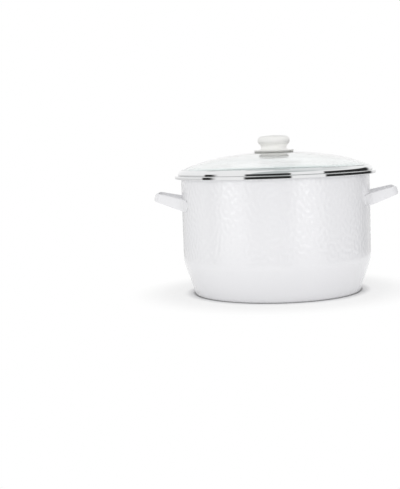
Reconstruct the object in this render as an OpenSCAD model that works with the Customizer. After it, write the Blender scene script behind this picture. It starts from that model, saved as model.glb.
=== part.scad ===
// Water bath canner: an enamelled steel pot with two strap handles, a domed glass lid
// with a knob, and a wire jar rack that stands on the pot floor.
// Millimetres, +Z up. The origin is the middle of the base, on the surface the pot stands on.

/* [Pot] */
// Outside diameter of the straight wall
body_d = 330; // [310:1:345]
// Height of the pot, from what it stands on to the top of its rolled rim
pot_h = 210; // [180:1:260]
// Thickness of the enamelled sheet
wall = 1.6; // [1.2:0.1:2.4]
// How far the flat part of the base stands in from the wall
foot_inset = 21; // [15:0.5:30]
// Outside radius of the corner round the base
base_corner_r = 3; // [3:0.5:8]
// Height at which the sloping foot would meet the straight wall
foot_h = 58; // [50:1:80]
// Radius of the soft bend between the sloping foot and the wall
foot_bend_r = 35; // [20:1:70]
// Radius of the cove that turns the wall out into the rim
cove_r = 3.5; // [2.5:0.5:6]

/* [Pot rim] */
// How far the rolled rim stands out past the wall
rim_reach = 11; // [9:0.5:14]
// Height of the rolled rim
rim_h = 5.6; // [4.6:0.2:7]
// Width of the rolled rim, from its inner edge to its nose
rim_w = 9.2; // [8:0.2:10]
// Radius of the rim's outer corners, above and below its flat side
rim_corner_r = 1; // [0.6:0.1:2]

/* [Handles] */
// How far below the pot's top the handle's middle line leaves the wall
handle_drop = 49; // [40:1:80]
// How far each handle stands out past the wall
handle_reach = 48.5; // [40:1:60]
// How steeply the loop rises outwards
handle_tilt = 16; // [0:1:25]
// Half the straight length of the grip
grip_half = 18; // [14:1:30]
// Outside radius of the bends at the ends of the grip
grip_bend_r = 17; // [12:1:22]
// How much the legs spread towards the wall
leg_spread = 20; // [5:1:25]
// Thickness of the strap
strap_t = 3.2; // [2.4:0.2:4]
// Width of the strap at the wall
strap_root_w = 20; // [18:0.5:28]
// Width of the strap at the grip
strap_grip_w = 14.5; // [14:0.5:24]
// Length of each welded foot of the strap, along the wall
strap_pad_l = 20; // [14:1:26]

/* [Lid] */
// How far the steel band round the glass stands out past the pot's wall
lid_reach = 5.5; // [4.5:0.5:7]
// Thickness of the glass
glass_t = 3.5; // [3:0.5:5]
// Radius of the flatter crown of the dome
crown_r = 600; // [480:10:800]
// Diameter of the crown, where the tighter shoulder starts
crown_d = 200; // [150:5:240]
// Radius of the dome's shoulder
shoulder_r = 265; // [250:5:400]
// Height of the glass's underside at its edge, above the pot's rim
glass_bed = 3.4; // [3.4:0.2:5.4]
// How far the glass's edge stands in from the outside of the band
glass_inset = 4; // [3.4:0.2:5]
// Radius of the band's rolled top edge
band_roll_r = 6.5; // [5.5:0.2:7]
// How far the band laps over the glass
band_lap = 2.5; // [2:0.5:5]
// Depth of the skirt that drops inside the pot's mouth
skirt_h = 9; // [5:0.5:14]
// Thickness of the band's sheet
band_t = 0.8; // [0.6:0.1:1.2]

/* [Knob] */
// Diameter of the flange that covers the seal
knob_flange_d = 69.6; // [60:0.2:76]
// Thickness of the flange's edge
knob_flange_t = 2.2; // [2:0.1:3]
// Diameter of the waist
knob_waist_d = 44.8; // [40:0.4:48]
// Diameter of the head
knob_head_d = 56.6; // [54:0.2:60]
// Height of the knob
knob_h = 27.9; // [27:0.1:34]
// Radius of the head's round side
knob_side_r = 7.8; // [7:0.2:8.6]
// Radius of the hollow between the waist and the head
knob_hollow_r = 7; // [6:0.5:8]
// Height of the head's slightly domed top
knob_dome_h = 1.5; // [1:0.1:2]
// Thickness of the soft seal between the flange and the glass
seal_t = 1.6; // [1:0.1:2]
// Diameter of the dished washer under the glass
washer_d = 52; // [40:1:56]
// Depth of the dished washer
washer_h = 4; // [3:0.5:6]
// Diameter of the screw that holds the knob
screw_d = 5; // [4:0.5:6]

/* [Rack] */
// Gap between the middle of the rack's ring and the pot's sloping foot beside it
rack_clear = 13.5; // [11:0.5:20]
// Wire diameter of the ring
ring_wire_d = 4; // [3:0.2:5]
// Wire diameter of the straight grid wires
grid_wire_d = 3; // [2.4:0.2:3.6]
// Spacing of the grid wires
grid_pitch = 16.9; // [15:0.1:17.4]
// Wire diameter of the two leg frames
leg_wire_d = 3.4; // [2.6:0.2:4]
// Height of the ring's middle above the pot floor
rack_h = 44; // [36:1:56]
// Width of the crossing leg frame, between the middles of its wires
cross_frame_w = 28; // [24:1:40]
// Radius of the round foot at the bottom of each leg, to the middle of the wire
foot_loop_r = 8.5; // [6:0.5:11]
// How far inside the edge of the flat base the feet stand
toe_inset = 3.5; // [2.5:0.5:8]
// Radius of the bend at the top of each leg, to the middle of the wire
leg_bend_r = 5; // [3.5:0.5:6]

/* [Fits] */
// Gap between two bodies that rest on one another
seat_gap = 0.2; // [0.1:0.05:0.4]
// Gap between pieces that are fitted together within one body
fit_gap = 0.05; // [0.02:0.01:0.1]
// Gap between the lid's skirt and the inside of the pot
skirt_clear = 1.4; // [1:0.1:2.5]
// How deep a wire sinks into the wire it is welded to
weld_sink = 0.12; // [0.05:0.01:0.2]

/* [Hidden] */
$fn = 96;
arc_steps = 8; // straight stretches in one arc of a turned profile
corner_steps = 4; // straight stretches in a small corner
wire_sides = 16; // flat sides round a bent wire
bend_steps = 6; // straight stretches in one bend of a wire

body_r = body_d / 2;
base_r = body_r - foot_inset;

// The sloping foot is the line through (body_r, foot_h) that touches the base's corner
foot_run = body_r - base_r;
foot_rise = foot_h - base_corner_r;
foot_angle = acos(base_corner_r / norm([foot_run, foot_rise])) - atan2(foot_rise, foot_run);
foot_bend_z = foot_h + foot_bend_r * tan(foot_angle / 2);

// The flange inside the rolled rim lies at half the rim's height
lip_under_z = pot_h - rim_h / 2 - wall / 2;
lip_top_z = lip_under_z + wall;
cove_z = lip_under_z - cove_r;
rim_r = body_r + rim_reach;
lip_r = rim_r - rim_h / 2;
rim_chamfer = 1;
rim_heel = 1; // between the rim's lower inner edge and the end of the cove

// Where the handles leave the wall, and half the strap's spread there
handle_z = pot_h - handle_drop;
strap_foot_y = strap_edge(0, 0)[0][1];

// Lid heights are counted from the pot's rim
lid_r = body_r + lid_reach;
lid_z = pot_h + seat_gap;
glass_r = lid_r - glass_inset;
crown_edge = crown_d / 2;
crown_angle = asin(crown_edge / crown_r);
shoulder_x = crown_edge - shoulder_r * sin(crown_angle);
glass_edge_angle = asin((glass_r - shoulder_x) / shoulder_r);
glass_edge_z = lid_z + glass_bed + glass_t / cos(glass_edge_angle) + 2 * fit_gap;
shoulder_z = glass_edge_z - shoulder_r * cos(glass_edge_angle);
crown_z = shoulder_z + (shoulder_r - crown_r) * cos(crown_angle);
glass_top_z = crown_z + crown_r;

// The band's rolled edge runs smoothly into its lap, which follows the glass
lap_surface_r = shoulder_r + fit_gap + band_t;
roll_x = lid_r - band_roll_r;
roll_z = shoulder_z + sqrt(pow(lap_surface_r - band_roll_r, 2) - pow(roll_x - shoulder_x, 2));
roll_sweep = atan2(roll_z - shoulder_z, roll_x - shoulder_x);

// The underside of the knob follows the dome, with the seal between them
knob_flange_r = knob_flange_d / 2;
seal_inset = 0.8;
seal_r = knob_flange_r - seal_inset;
knob_under_r = crown_r + seal_t;
knob_z = glass_top_z - crown_drop(knob_flange_r) + seal_t;
knob_seat_z = glass_top_z + seal_t;
screw_r = screw_d / 2;
hole_r = screw_r + 1;
washer_r = washer_d / 2;
washer_t = 1;
screw_clear = 0.3;
washer_hole_r = screw_r + screw_clear;
lower_seal_r = washer_r - 2 * washer_h;
lower_seal_t = 1;
lower_seal_z = glass_top_z - glass_t - crown_drop(lower_seal_r) - lower_seal_t;
insert_wall = 2.5;
insert_r = screw_r + insert_wall;
insert_l = 16;
screw_grip = 12;
screw_head_r = 2 * screw_r;
screw_head_h = 3;
screw_head_taper = 1;
drive_slot_w = 1.2;

// Rack levels, each to the middle of its wire
floor_z = wall;
foot_z = floor_z + seat_gap + leg_wire_d / 2;
ring_z = floor_z + rack_h;
ring_r = body_r - (foot_h - ring_z) * tan(foot_angle) - wall / cos(foot_angle) - rack_clear;
toe_r = base_r - toe_inset;
grid_z = ring_z + (ring_wire_d + grid_wire_d) / 2 - weld_sink;
long_frame_z = ring_z + (ring_wire_d + leg_wire_d) / 2 - weld_sink;
cross_frame_z = ring_z - (ring_wire_d + leg_wire_d) / 2 + weld_sink;
leg_corner_r = ring_r + (ring_wire_d + leg_wire_d) / 2 + leg_bend_r;
butt_gap = 0.3; // between the two ends of a leg frame's wire
grid_half = floor((ring_r - ring_wire_d) / grid_pitch);
// The long leg frame takes the place of the wires on either side of the middle one
grid_rows = [for (row = [-grid_half : grid_half]) if (abs(row) != 1) row];
function grid_name(k) = str("rack_wire_", floor((k + 1) / 10), (k + 1) % 10);

enamel = "white";
steel = "silver";
wire_steel = "gray";
knob_white = "ivory";
glass_tint = [0.75, 0.88, 0.86, 0.4];
rubber_black = [0.12, 0.12, 0.12];

// Points along an arc, from angle a0 to angle a1
function arc(centre, r, a0, a1, steps = arc_steps) =
    [for (k = [0 : steps]) centre + r * [cos(a0 + (a1 - a0) * k / steps), sin(a0 + (a1 - a0) * k / steps)]];

function reversed(list) = [for (k = [len(list) - 1 : -1 : 0]) list[k]];

// How far the crown of the dome has dropped at a distance from the axis
function crown_drop(r) = crown_r - sqrt(crown_r * crown_r - r * r);

// One face of the pot's sheet, from the axis out to the lip: depth 0 is outside, wall is inside
function pot_side(depth) = concat(
    [[0, depth]],
    arc([base_r, base_corner_r], base_corner_r - depth, -90, -foot_angle),
    arc([body_r - foot_bend_r, foot_bend_z], foot_bend_r - depth, -foot_angle, 0),
    arc([body_r + cove_r, cove_z], cove_r + depth, 180, 90),
    [[lip_r, lip_under_z + depth]]
);

module pot_shell() {
    color(enamel)
        rotate_extrude()
            polygon(concat(pot_side(0), reversed(pot_side(wall))));
}

// The rolled rim: a steel bead with a slot that holds the pot's lip
module pot_rim() {
    inner_r = rim_r - rim_w;
    heel_r = body_r + cove_r + rim_heel;
    corner_r = rim_r - rim_corner_r;
    slot_top = lip_top_z + fit_gap;
    slot_under = lip_under_z - fit_gap;
    color(steel)
        rotate_extrude()
            polygon(concat(
                [[heel_r, slot_under], [heel_r + rim_chamfer, pot_h - rim_h]],
                arc([corner_r, pot_h - rim_h + rim_corner_r], rim_corner_r, -90, 0, corner_steps),
                arc([corner_r, pot_h - rim_corner_r], rim_corner_r, 0, 90, corner_steps),
                [[inner_r + rim_chamfer, pot_h], [inner_r, pot_h - rim_chamfer], [inner_r, slot_top]],
                [[lip_r + fit_gap, slot_top], [lip_r + fit_gap, slot_under]]
            ));
}

// One edge of the strap seen from above: inset 0 is outside, strap_t is inside
function strap_edge(inset, root_x) =
    let (
        bend = [handle_reach - grip_bend_r, grip_half],
        side = arc(bend, grip_bend_r - inset, 90 - leg_spread, 0),
        root = [root_x, side[0][1] + (side[0][0] - root_x) * tan(leg_spread)],
        half = concat([root], side)
    )
    concat(half, reversed([for (p = half) [p[0], -p[1]]]));

// A strap loop, bent up outwards, and cut to lie on the wall. It stands on the +X side.
module handle() {
    root_x = -handle_reach / 2;
    corner = strap_grip_w / 3; // the strap's edges are rounded off in side view
    pad_angle = asin((strap_foot_y - strap_t) / body_r);
    pad_sweep = strap_pad_l / body_r * 180 / PI;
    tip = [handle_reach - corner, strap_grip_w / 2 - corner];
    side_half = concat([[root_x, strap_root_w / 2]], arc(tip, corner, 90, 0));
    color(enamel) {
        difference() {
            translate([body_r, 0, handle_z])
                rotate([0, -handle_tilt, 0])
                    intersection() {
                        linear_extrude(height = 2 * strap_root_w, center = true)
                            difference() {
                                polygon(strap_edge(0, root_x));
                                polygon(strap_edge(strap_t, 2 * root_x));
                            }
                        rotate([90, 0, 0])
                            linear_extrude(height = body_d, center = true)
                                polygon(concat(side_half, reversed([for (p = side_half) [p[0], -p[1]]])));
                    }
            cylinder(r = body_r + fit_gap, h = pot_h);
        }
        for (side = [-1, 1])
            handle_pad(side * pad_angle, side * pad_sweep);
    }
}

// The welded foot of the strap, rolled to the wall
module handle_pad(start, sweep) {
    mid = start + sweep / 2;
    foot_back = body_r - sqrt(body_r * body_r - strap_foot_y * strap_foot_y);
    pad_z = handle_z - foot_back * tan(handle_tilt);
    intersection() {
        difference() {
            cylinder(r = body_r + strap_t, h = pot_h);
            translate([0, 0, -1])
                cylinder(r = body_r + fit_gap, h = pot_h + 2);
        }
        rotate([0, 0, mid])
            translate([body_r - strap_t, 0, pad_z])
                rotate([0, 90, 0])
                    linear_extrude(height = 3 * strap_t)
                        rounded_plate(strap_root_w, strap_pad_l, strap_root_w / 4);
    }
}

// A plate with round corners, centred, made of straight and round pieces so that it stays exact
module rounded_plate(size_x, size_y, r) {
    square([size_x - 2 * r, size_y], center = true);
    square([size_x, size_y - 2 * r], center = true);
    for (x = [-1, 1], y = [-1, 1])
        translate([x * (size_x / 2 - r), y * (size_y / 2 - r)])
            circle(r);
}

module handle_right() {
    handle();
}

module handle_left() {
    mirror([1, 0, 0])
        handle();
}

// One face of the glass from the hole out to the edge: depth 0 is the top, glass_t the underside
function dome_side(depth) =
    let (hole_angle = asin(hole_r / (crown_r - depth)))
    concat(
        arc([0, crown_z], crown_r - depth, 90 - hole_angle, 90 - crown_angle),
        arc([shoulder_x, shoulder_z], shoulder_r - depth, 90 - crown_angle, 90 - glass_edge_angle)
    );

module lid_glass() {
    color(glass_tint)
        rotate_extrude()
            polygon(concat(dome_side(0), reversed(dome_side(glass_t))));
}

// The steel band: a ledge under the glass, a rolled top edge over it, and a skirt in the mouth
module lid_band() {
    skirt_r = body_r - wall - skirt_clear;
    inner_r = skirt_r - band_t;
    lap_r = glass_r - band_lap;
    function shell_at(r, shell_r) = shoulder_z + sqrt(pow(shell_r, 2) - pow(r - shoulder_x, 2));
    over_glass_r = shoulder_r + fit_gap;
    under_glass_r = shoulder_r - glass_t - fit_gap;
    under_edge_r = glass_r - glass_t * sin(glass_edge_angle);
    wall_in = glass_r + fit_gap;
    color(steel)
        rotate_extrude()
            polygon(concat(
                [[inner_r, lid_z - skirt_h], [skirt_r, lid_z - skirt_h], [skirt_r, lid_z], [lid_r, lid_z]],
                arc([roll_x, roll_z], band_roll_r, 0, roll_sweep),
                [[lap_r, shell_at(lap_r, lap_surface_r)], [lap_r, shell_at(lap_r, over_glass_r)]],
                [[wall_in, shell_at(glass_r, over_glass_r)]],
                [[wall_in, shell_at(under_edge_r, under_glass_r)]],
                [[under_edge_r, shell_at(under_edge_r, under_glass_r)]],
                [[inner_r, shell_at(inner_r, under_glass_r)]]
            ));
}

// The knob, turned in one piece: a flange hollowed to the dome, a waist that runs smoothly
// into the head, and a blind hole for the insert
module knob() {
    edge_r = knob_flange_t / 2;
    waist_r = knob_waist_d / 2;
    head_x = knob_head_d / 2 - knob_side_r;
    head_z = knob_h - knob_dome_h - knob_side_r;
    hollow_x = waist_r + knob_hollow_r;
    join_angle = acos((hollow_x - head_x) / (knob_hollow_r + knob_side_r));
    waist_z = head_z - (knob_hollow_r + knob_side_r) * sin(join_angle);
    flare_r = waist_z - knob_flange_t;
    top_r = (head_x * head_x + knob_dome_h * knob_dome_h) / (2 * knob_dome_h);
    top_angle = asin(head_x / top_r);
    flange_x = knob_flange_r - edge_r;
    lip_angle = 60; // how far the round edge runs on under the flange
    under_sweep = asin(flange_x / knob_under_r);
    color(knob_white)
        translate([0, 0, knob_z])
            difference() {
                rotate_extrude()
                    polygon(concat(
                        arc([0, crown_z - knob_z], knob_under_r, 90, 90 - under_sweep),
                        arc([flange_x, edge_r], edge_r, -lip_angle, 90, corner_steps),
                        arc([waist_r + flare_r, waist_z], flare_r, 270, 180),
                        arc([hollow_x, waist_z], knob_hollow_r, 180, 180 - join_angle),
                        arc([head_x, head_z], knob_side_r, -join_angle, 90 - top_angle),
                        arc([0, knob_h - top_r], top_r, 90 - top_angle, 90)
                    ));
                cylinder(r = insert_r + fit_gap, h = knob_seat_z - knob_z + insert_l + fit_gap);
            }
}

// The threaded sleeve moulded into the knob
module knob_insert() {
    color(steel)
        translate([0, 0, knob_seat_z])
            difference() {
                cylinder(r = insert_r, h = insert_l);
                translate([0, 0, -insert_wall])
                    cylinder(r = screw_r + fit_gap, h = insert_l);
            }
}

// The soft disc between the knob's flange and the glass, curved as the dome is
module knob_seal() {
    hole_angle = asin(hole_r / crown_r);
    edge_angle = asin(seal_r / crown_r);
    top_r = knob_under_r - fit_gap;
    color(rubber_black)
        rotate_extrude()
            polygon(concat(
                arc([0, crown_z], crown_r + fit_gap, 90 - edge_angle, 90 - hole_angle),
                arc([0, crown_z], top_r, 90 - hole_angle, 90 - edge_angle)
            ));
}

// The soft ring between the glass and the dished washer
module lower_seal() {
    color(rubber_black)
        rotate_extrude()
            polygon([
                [hole_r, lower_seal_z],
                [lower_seal_r, lower_seal_z],
                [lower_seal_r, lower_seal_z + lower_seal_t - fit_gap],
                [hole_r, lower_seal_z + lower_seal_t + crown_drop(lower_seal_r) - fit_gap]
            ]);
}

// The dished washer, open towards the glass
module lid_washer() {
    floor_r = washer_r - washer_h;
    color(steel)
        translate([0, 0, lower_seal_z - fit_gap])
            rotate_extrude()
                polygon([
                    [washer_hole_r, -washer_t],
                    [floor_r, -washer_t],
                    [washer_r, -washer_h],
                    [washer_r, washer_t - washer_h],
                    [floor_r, 0],
                    [washer_hole_r, 0]
                ]);
}

module knob_screw() {
    head_z = lower_seal_z - 2 * fit_gap - washer_t;
    tip_z = knob_seat_z + screw_grip;
    color(steel)
        difference() {
            union() {
                translate([0, 0, head_z])
                    cylinder(r = screw_r, h = tip_z - head_z);
                translate([0, 0, head_z - screw_head_h])
                    cylinder(r1 = screw_head_r - screw_head_taper, r2 = screw_head_r, h = screw_head_h);
            }
            for (turn = [0, 90])
                rotate([0, 0, turn])
                    translate([0, 0, head_z - screw_head_h])
                        cube([screw_head_r, drive_slot_w, screw_head_h], center = true);
        }
}

function unit(v) = v / norm(v);
function turn_between(a, b) = acos(max(-1, min(1, a * b)));

// A vector turned about an axis through the origin
function turned(v, axis, angle) =
    v * cos(angle) + cross(axis, v) * sin(angle) + axis * (axis * v) * (1 - cos(angle));

// The rings of a wire from its bend k on, each ring a list of points round the wire. The
// spokes run from the wire's middle to its surface and are carried round every bend.
function wire_rings(points, radii, k, spokes) =
    let (back = unit(points[k] - points[k - 1]))
    k == len(points) - 1
        ? [[for (v = spokes) points[k] + v]]
        : let (
            ahead = unit(points[k + 1] - points[k]),
            axis = unit(cross(back, ahead)),
            turn = turn_between(back, ahead),
            radius = radii[k - 1],
            start = points[k] - back * radius * tan(turn / 2),
            centre = start + radius * cross(axis, back),
            rings = [
                for (j = [0 : bend_steps])
                    [for (v = spokes) centre + turned(start + v - centre, axis, turn * j / bend_steps)]
            ]
        )
        concat(rings, wire_rings(points, radii, k + 1, [for (v = spokes) turned(v, axis, turn)]));

// A round wire through a list of points, with a bend radius at each inner point
module bent_wire(points, radii, d) {
    ahead = unit(points[1] - points[0]);
    level = unit(cross([0, 0, 1], ahead));
    up = cross(ahead, level);
    spokes = [for (j = [0 : wire_sides - 1])
        d / 2 * (cos(360 * j / wire_sides) * level + sin(360 * j / wire_sides) * up)];
    rings = concat([[for (v = spokes) points[0] + v]], wire_rings(points, radii, 1, spokes));
    ring_starts = [for (k = [0 : len(rings) - 2]) k * wire_sides];
    last_start = (len(rings) - 1) * wire_sides;
    polyhedron(
        points = [for (ring = rings) for (p = ring) p],
        faces = concat(
            [[for (j = [0 : wire_sides - 1]) j]],
            [
                for (a = ring_starts, j = [0 : wire_sides - 1])
                    let (b = a + wire_sides, next = (j + 1) % wire_sides)
                    [a + next, a + j, b + j, b + next]
            ],
            [[for (j = [wire_sides - 1 : -1 : 0]) last_start + j]]
        )
    );
}

// A long narrow loop of wire along X: two runs under or over the ring, and a V-shaped leg
// with a round foot at each end. The wire's two ends meet in the middle of one run.
module leg_frame(width, level) {
    one_end = [
        [leg_corner_r, width / 2, level],
        [toe_r, foot_loop_r, foot_z],
        [toe_r, -foot_loop_r, foot_z],
        [leg_corner_r, -width / 2, level]
    ];
    points = concat(
        [[butt_gap / 2, width / 2, level]],
        one_end,
        [for (p = one_end) [-p[0], -p[1], p[2]]],
        [[-butt_gap / 2, width / 2, level]]
    );
    one_radii = [leg_bend_r, foot_loop_r, foot_loop_r, leg_bend_r];
    color(wire_steel)
        bent_wire(points, concat(one_radii, one_radii), leg_wire_d);
}

module rack_leg_frame_long() {
    leg_frame(2 * grid_pitch, long_frame_z);
}

module rack_leg_frame_cross() {
    rotate([0, 0, 90])
        leg_frame(cross_frame_w, cross_frame_z);
}

module rack_ring() {
    color(wire_steel)
        translate([0, 0, ring_z])
            rotate_extrude()
                translate([ring_r, 0])
                    circle(d = ring_wire_d);
}

// One straight wire of the grid, as long as the ring is wide at its row
module rack_wire(row) {
    y = row * grid_pitch;
    reach = sqrt(ring_r * ring_r - y * y) + ring_wire_d / 4;
    color(wire_steel)
        translate([-reach, y, grid_z])
            rotate([0, 90, 0])
                cylinder(d = grid_wire_d, h = 2 * reach);
}

pot_shell();
pot_rim();
handle_left();
handle_right();
lid_glass();
lid_band();
knob();
knob_insert();
knob_seal();
lower_seal();
lid_washer();
knob_screw();
rack_ring();
rack_leg_frame_long();
rack_leg_frame_cross();
for (k = [0 : len(grid_rows) - 1])
    rack_wire(grid_rows[k]);
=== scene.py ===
"""Looks for the water bath canner: enamelled pot, rolled steel rims, glass lid, jar rack.

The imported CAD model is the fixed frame. Every length is in metres in the frame's axes:
+Z up, the handles on the X axis, the camera in front on the -Y side.
"""

import math

import bpy
import numpy as np
from mathutils import Matrix, Vector
from mathutils.bvhtree import BVHTree


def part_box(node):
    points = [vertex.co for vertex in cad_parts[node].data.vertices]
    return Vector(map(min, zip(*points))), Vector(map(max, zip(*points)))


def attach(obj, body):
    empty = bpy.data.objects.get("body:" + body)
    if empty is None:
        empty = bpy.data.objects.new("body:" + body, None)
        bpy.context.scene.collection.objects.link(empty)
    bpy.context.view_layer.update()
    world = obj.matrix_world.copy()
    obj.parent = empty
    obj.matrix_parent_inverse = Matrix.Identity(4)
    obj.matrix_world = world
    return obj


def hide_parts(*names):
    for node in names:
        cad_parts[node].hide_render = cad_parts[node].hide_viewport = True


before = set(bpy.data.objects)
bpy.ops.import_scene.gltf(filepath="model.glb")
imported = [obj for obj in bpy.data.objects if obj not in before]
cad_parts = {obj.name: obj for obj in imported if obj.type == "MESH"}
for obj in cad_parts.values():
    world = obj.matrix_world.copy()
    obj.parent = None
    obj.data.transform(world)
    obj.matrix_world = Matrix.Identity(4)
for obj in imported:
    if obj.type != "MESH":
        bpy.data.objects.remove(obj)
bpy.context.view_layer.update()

# ---------------------------------------------------------------- camera and image points

FRAME_W, FRAME_H = 400, 489
LONG_SIDE = max(FRAME_W, FRAME_H)
SENSOR = 36.0
LENS = 73.6
SHIFT_X, SHIFT_Y = 0.0, 0.0
CAMERA_AT = Vector((0.0, -1.7713, 0.2688))
YAW_LEFT = math.radians(4.40)
PITCH_DOWN = math.radians(5.89)
ROLL = math.radians(-2.06)

# Each point is (x, y) in the photograph's frame; None where only one of the two is meant.
IMAGE_POINTS = {
    "object_right": (398, None),
    "object_top": (None, 135),
    "object_bottom": (None, 303),
    "knob_head_left": (257.6, 140.6),
    "knob_head_right": (289.7, 140.6),
    "knob_flange_left": (253.5, 152),
    "knob_flange_right": (293, 152),
    "rim_right_end": (375.5, 170),
    "wall_right": (370.5, None),
    "foot_right": (359.6, 291.1),
    "handle_tip": (398, 190),
    "relief_top": (300, 178),
    "relief_bottom": (300, 255),
    "far_rim_through_glass": (300, 167.5),
}


def camera_axes():
    """Right, up and forward of the camera.

    Forward points along +Y, turned left by the yaw and down by the pitch. Right is level,
    up is right x forward, and the roll then turns right and up about forward.
    """
    forward = Vector((
        -math.sin(YAW_LEFT) * math.cos(PITCH_DOWN),
        math.cos(YAW_LEFT) * math.cos(PITCH_DOWN),
        -math.sin(PITCH_DOWN),
    ))
    level = Vector((math.cos(YAW_LEFT), math.sin(YAW_LEFT), 0.0))
    over = level.cross(forward)
    right = level * math.cos(ROLL) + over * math.sin(ROLL)
    up = over * math.cos(ROLL) - level * math.sin(ROLL)
    return right, up, forward


RIGHT, UP, FORWARD = camera_axes()


def make_camera():
    """The camera at the photograph's place, its axes as the columns of its matrix."""
    data = bpy.data.cameras.new("camera")
    data.sensor_fit = "AUTO"
    data.sensor_width = SENSOR
    data.lens = LENS
    data.shift_x, data.shift_y = SHIFT_X, SHIFT_Y
    data.clip_start, data.clip_end = 0.05, 50.0
    camera = bpy.data.objects.new("camera", data)
    turn = Matrix((RIGHT, UP, -FORWARD)).transposed().to_4x4()
    camera.matrix_world = Matrix.Translation(CAMERA_AT) @ turn
    bpy.context.scene.collection.objects.link(camera)
    bpy.context.scene.camera = camera


def image_ray(point):
    """The direction from the camera through an image point."""
    x, y = point
    along = Vector((
        x - FRAME_W / 2 + SHIFT_X * LONG_SIDE,
        FRAME_H / 2 - y + SHIFT_Y * LONG_SIDE,
        -LONG_SIDE * LENS / SENSOR,
    ))
    return (RIGHT * along.x + UP * along.y - FORWARD * along.z).normalized()


def on_surface(name, tree):
    """Where the ray through a named image point meets the surface of a search tree.

    A miss takes the place nearest the ray's point that lies level with the pot's middle.
    """
    ray = image_ray(IMAGE_POINTS[name])
    hit = tree.ray_cast(CAMERA_AT, ray)[0]
    if hit is None:
        low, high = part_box("pot_shell")
        away = ((low + high) / 2 - CAMERA_AT).dot(ray)
        hit = tree.find_nearest(CAMERA_AT + ray * away)[0]
    return hit


def in_image(points):
    """Image x and y of an array of places: the ray formula of image_ray solved for x and y."""
    away = np.asarray(points, float).reshape(-1, 3) - np.array(CAMERA_AT)
    depth = away @ np.array(FORWARD)
    scale = LONG_SIDE * LENS / SENSOR
    x = FRAME_W / 2 - SHIFT_X * LONG_SIDE + scale * (away @ np.array(RIGHT)) / depth
    y = FRAME_H / 2 + SHIFT_Y * LONG_SIDE - scale * (away @ np.array(UP)) / depth
    return np.stack([x, y], axis=-1)


make_camera()

# ---------------------------------------------------------------- sizes taken from the frame

MM = 0.001
shell_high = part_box("pot_shell")[1]
rim_low, rim_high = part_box("pot_rim")
glass_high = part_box("lid_glass")[1]
band_low, band_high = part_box("lid_band")
knob_low, knob_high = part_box("knob")
seal_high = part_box("knob_seal")[1]
lower_seal_low, lower_seal_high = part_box("lower_seal")
washer_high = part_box("lid_washer")[1]
ring_low, ring_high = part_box("rack_ring")
long_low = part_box("rack_leg_frame_long")[0]

FIT = 0.05 * MM  # the gap between pieces that are fastened together
SHEET = 1.6 * MM
BODY_R = rim_high.x - 11 * MM
BASE_R = BODY_R - 21 * MM
BASE_CORNER = 3 * MM
FOOT_BEND = 35 * MM
FOOT_H = 58 * MM
COVE = 3.5 * MM
LIP_R, LIP_TOP = shell_high.x, shell_high.z
FOOT_RUN, FOOT_RISE = BODY_R - BASE_R, FOOT_H - BASE_CORNER
FOOT_ANGLE = math.acos(BASE_CORNER / math.hypot(FOOT_RUN, FOOT_RISE))
FOOT_ANGLE -= math.atan2(FOOT_RISE, FOOT_RUN)
FOOT_BEND_Z = FOOT_H + FOOT_BEND * math.tan(FOOT_ANGLE / 2)
COVE_Z = LIP_TOP - SHEET - COVE

# ---------------------------------------------------------------- making meshes


def solid(name, points, faces, body, replaced, finish, relief=None):
    """A closed mesh piece from an array of points and arrays of faces.

    The volume is the sum over the faces of p0 . (p1 x p2) / 6. Where it comes out negative
    the faces point inwards, and each is turned round.
    """
    points = np.asarray(points, float).reshape(-1, 3)
    volume = 0.0
    for block in faces:
        first = points[block[:, 0]]
        for k in range(1, block.shape[1] - 1):
            second, third = points[block[:, k]], points[block[:, k + 1]]
            volume += float(np.einsum("ij,ij->", first, np.cross(second, third)))
    if volume < 0:
        faces = [block[:, ::-1] for block in faces]
    mesh = bpy.data.meshes.new(name)
    mesh.vertices.add(len(points))
    mesh.vertices.foreach_set("co", points.astype(np.float32).ravel())
    corners = np.concatenate([block.ravel() for block in faces])
    counts = np.concatenate([np.full(len(block), block.shape[1]) for block in faces])
    starts = np.concatenate([[0], np.cumsum(counts)[:-1]])
    mesh.loops.add(len(corners))
    mesh.loops.foreach_set("vertex_index", corners.astype(np.int32))
    mesh.polygons.add(len(counts))
    mesh.polygons.foreach_set("loop_start", starts.astype(np.int32))
    mesh.update(calc_edges=True)
    mesh.validate()
    mesh.shade_smooth()
    if relief is not None:
        attribute = mesh.attributes.new("relief", "FLOAT", "POINT")
        attribute.data.foreach_set("value", np.asarray(relief, np.float32).ravel())
    piece = bpy.data.objects.new(name, mesh)
    bpy.context.scene.collection.objects.link(piece)
    mesh.materials.append(finish)
    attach(piece, body)
    if replaced:
        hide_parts(*replaced)
    return piece


def grid_quads(rows, columns, round_rows, round_columns):
    """Quads of a rows x columns grid of points: (i, j), (i+1, j), (i+1, j+1), (i, j+1)."""
    i = np.arange(rows if round_rows else rows - 1)
    j = np.arange(columns if round_columns else columns - 1)
    i, j = np.meshgrid(i, j, indexing="ij")
    i2, j2 = (i + 1) % rows, (j + 1) % columns
    quads = np.stack([i * columns + j, i2 * columns + j, i2 * columns + j2, i * columns + j2], -1)
    return quads.reshape(-1, 4)


def arc(centre, r, a0, a1, steps):
    """Points along an arc: centre + r (cos a, sin a), a in equal steps of degrees."""
    a = np.radians(np.linspace(a0, a1, steps + 1))
    return np.stack([centre[0] + r * np.cos(a), centre[1] + r * np.sin(a)], -1)


def line(a, b, steps):
    """Points along a straight line, without its first."""
    t = np.linspace(0, 1, steps + 1)[1:, None]
    return (1 - t) * np.array([a]) + t * np.array([b])


def smooth(t):
    """A smooth step: t limited to 0 to 1, then t t (3 - 2 t)."""
    t = np.clip(t, 0, 1)
    return t * t * (3 - 2 * t)


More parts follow.
